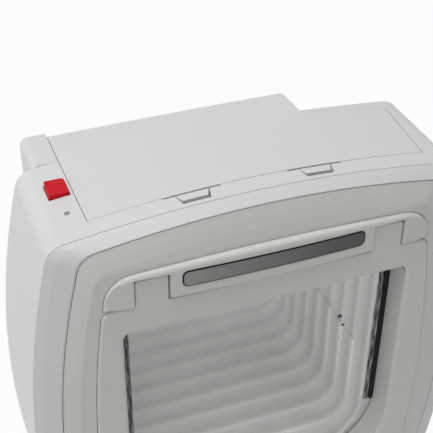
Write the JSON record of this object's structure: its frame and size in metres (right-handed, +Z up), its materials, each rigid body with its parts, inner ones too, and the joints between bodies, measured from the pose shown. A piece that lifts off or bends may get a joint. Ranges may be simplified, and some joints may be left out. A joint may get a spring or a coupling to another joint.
{
  "type": "pet door unit",
  "caption": "Door-mounted pet door unit with a clear swinging flap, a tunnel, a battery lid, a learn button and a motor lock.",
  "frame": {"origin": "centre of the four door bolts on the door's inner face", "axes": "+X right seen from the room, +Y from the room into the door, +Z up"},
  "size_m": [0.225, 0.1624, 0.252],
  "materials": {
    "white_shell": "satin moulded shell",
    "white_panel": "satin moulded panel",
    "white_frame": "satin moulded surround",
    "white_lid": "satin moulded lid",
    "label_grey": "bare printed plate",
    "steel": "drawn wire and turned rod",
    "red_button": "soft gloss",
    "black_plastic": "moulded",
    "board_green": "solder mask",
    "lens_grey": "frosted lens",
    "clear_flap": "clear moulded plastic",
    "bush_plastic": "natural acetal",
    "magnet": "ferrite",
    "seal_rubber": "extruded",
    "brush_pile": "short pile",
    "tunnel_plastic": "moulded",
    "copper": "enamelled winding",
    "cell_jacket": "printed sleeve left bare",
    "brass": "cut teeth",
    "dial_grey": "moulded",
    "foam": "closed cell foam",
    "lead_red": "insulated wire"
  },
  "bodies": {
    "body": {"housing": "white_shell", "rear_cover": "white_shell", "front_rim": "white_shell", "front_panel": "white_panel", "flap_frame": "white_frame", "hinge_bridge": "white_frame", "label_plate": "label_grey", "lid_hinge_pin": "steel", "button_spring": "steel", "learn_switch": "black_plastic", "switch_board": "board_green", "lamp_lens": "lens_grey", "hinge_bushes": "bush_plastic", "side_seals": "seal_rubber", "side_brushes": "brush_pile", "sill_magnet": "magnet", "tunnel": "tunnel_plastic", "coil_former": "bush_plastic", "antenna_coil": "copper", "main_board": "board_green", "board_chips": "black_plastic", "battery_tray": "black_plastic", "battery_cells": "cell_jacket", "battery_contacts": "steel", "lock_motor": "steel", "lock_guide": "bush_plastic", "foam_seal": "foam", "case_screws": "steel", "battery_leads": "lead_red", "motor_leads": "lead_red"},
    "swing": {"flap": "clear_flap", "hinge_rod": "steel", "flap_magnet": "magnet", "flap_marks": "black_plastic"},
    "lid": {"battery_lid": "white_lid"},
    "latch_l": {"latch_left": "white_lid"},
    "latch_r": {"latch_right": "white_lid"},
    "button": {"learn_button": "red_button"},
    "bolt": {"lock_bolt": "bush_plastic"},
    "pinion": {"lock_pinion": "brass"},
    "dial": {"mode_dial": "dial_grey", "stop_cams": "bush_plastic"}
  },
  "joints": [
    {"name": "flap_swing", "type": "hinge", "parent": "body", "child": "swing", "pos_m": [0, -0.0834, 0.075], "axis": [1, 0, 0], "range_deg": [-65, 80]},
    {"name": "lid_hinge", "type": "hinge", "parent": "body", "child": "lid", "pos_m": [0, -0.0042, 0.1148], "axis": [-1, 0, 0], "range_deg": [0, 80]},
    {"name": "latch_left_slide", "type": "slide", "parent": "body", "child": "latch_l", "axis": [0, -1, 0], "range_m": [0, 0.001], "stiffness_N_per_m": 1500, "springref_m": -0.0005},
    {"name": "latch_right_slide", "type": "slide", "parent": "body", "child": "latch_r", "axis": [0, -1, 0], "range_m": [0, 0.001], "stiffness_N_per_m": 1500, "springref_m": -0.0005},
    {"name": "button_press", "type": "slide", "parent": "body", "child": "button", "axis": [0, 0, -1], "range_m": [0, 0.0012], "stiffness_N_per_m": 500, "springref_m": -0.001, "deforming": ["button_spring"]},
    {"name": "lock_turn", "type": "hinge", "parent": "body", "child": "pinion", "pos_m": [-0.03805, -0.0917, -0.082], "axis": [0, -1, 0], "range_deg": [0, 95.4]},
    {"name": "lock_slide", "type": "slide", "parent": "body", "child": "bolt", "axis": [0, 0, 1], "range_m": [0, 0.008]},
    {"name": "mode_turn", "type": "hinge", "parent": "body", "child": "dial", "pos_m": [0, -0.0995, -0.08], "axis": [0, -1, 0], "range_deg": [0, 270]}
  ],
  "couplings": [
    {"joint": "lock_turn", "follows": "lock_slide", "rad_per_m": 208.33}
  ]
}
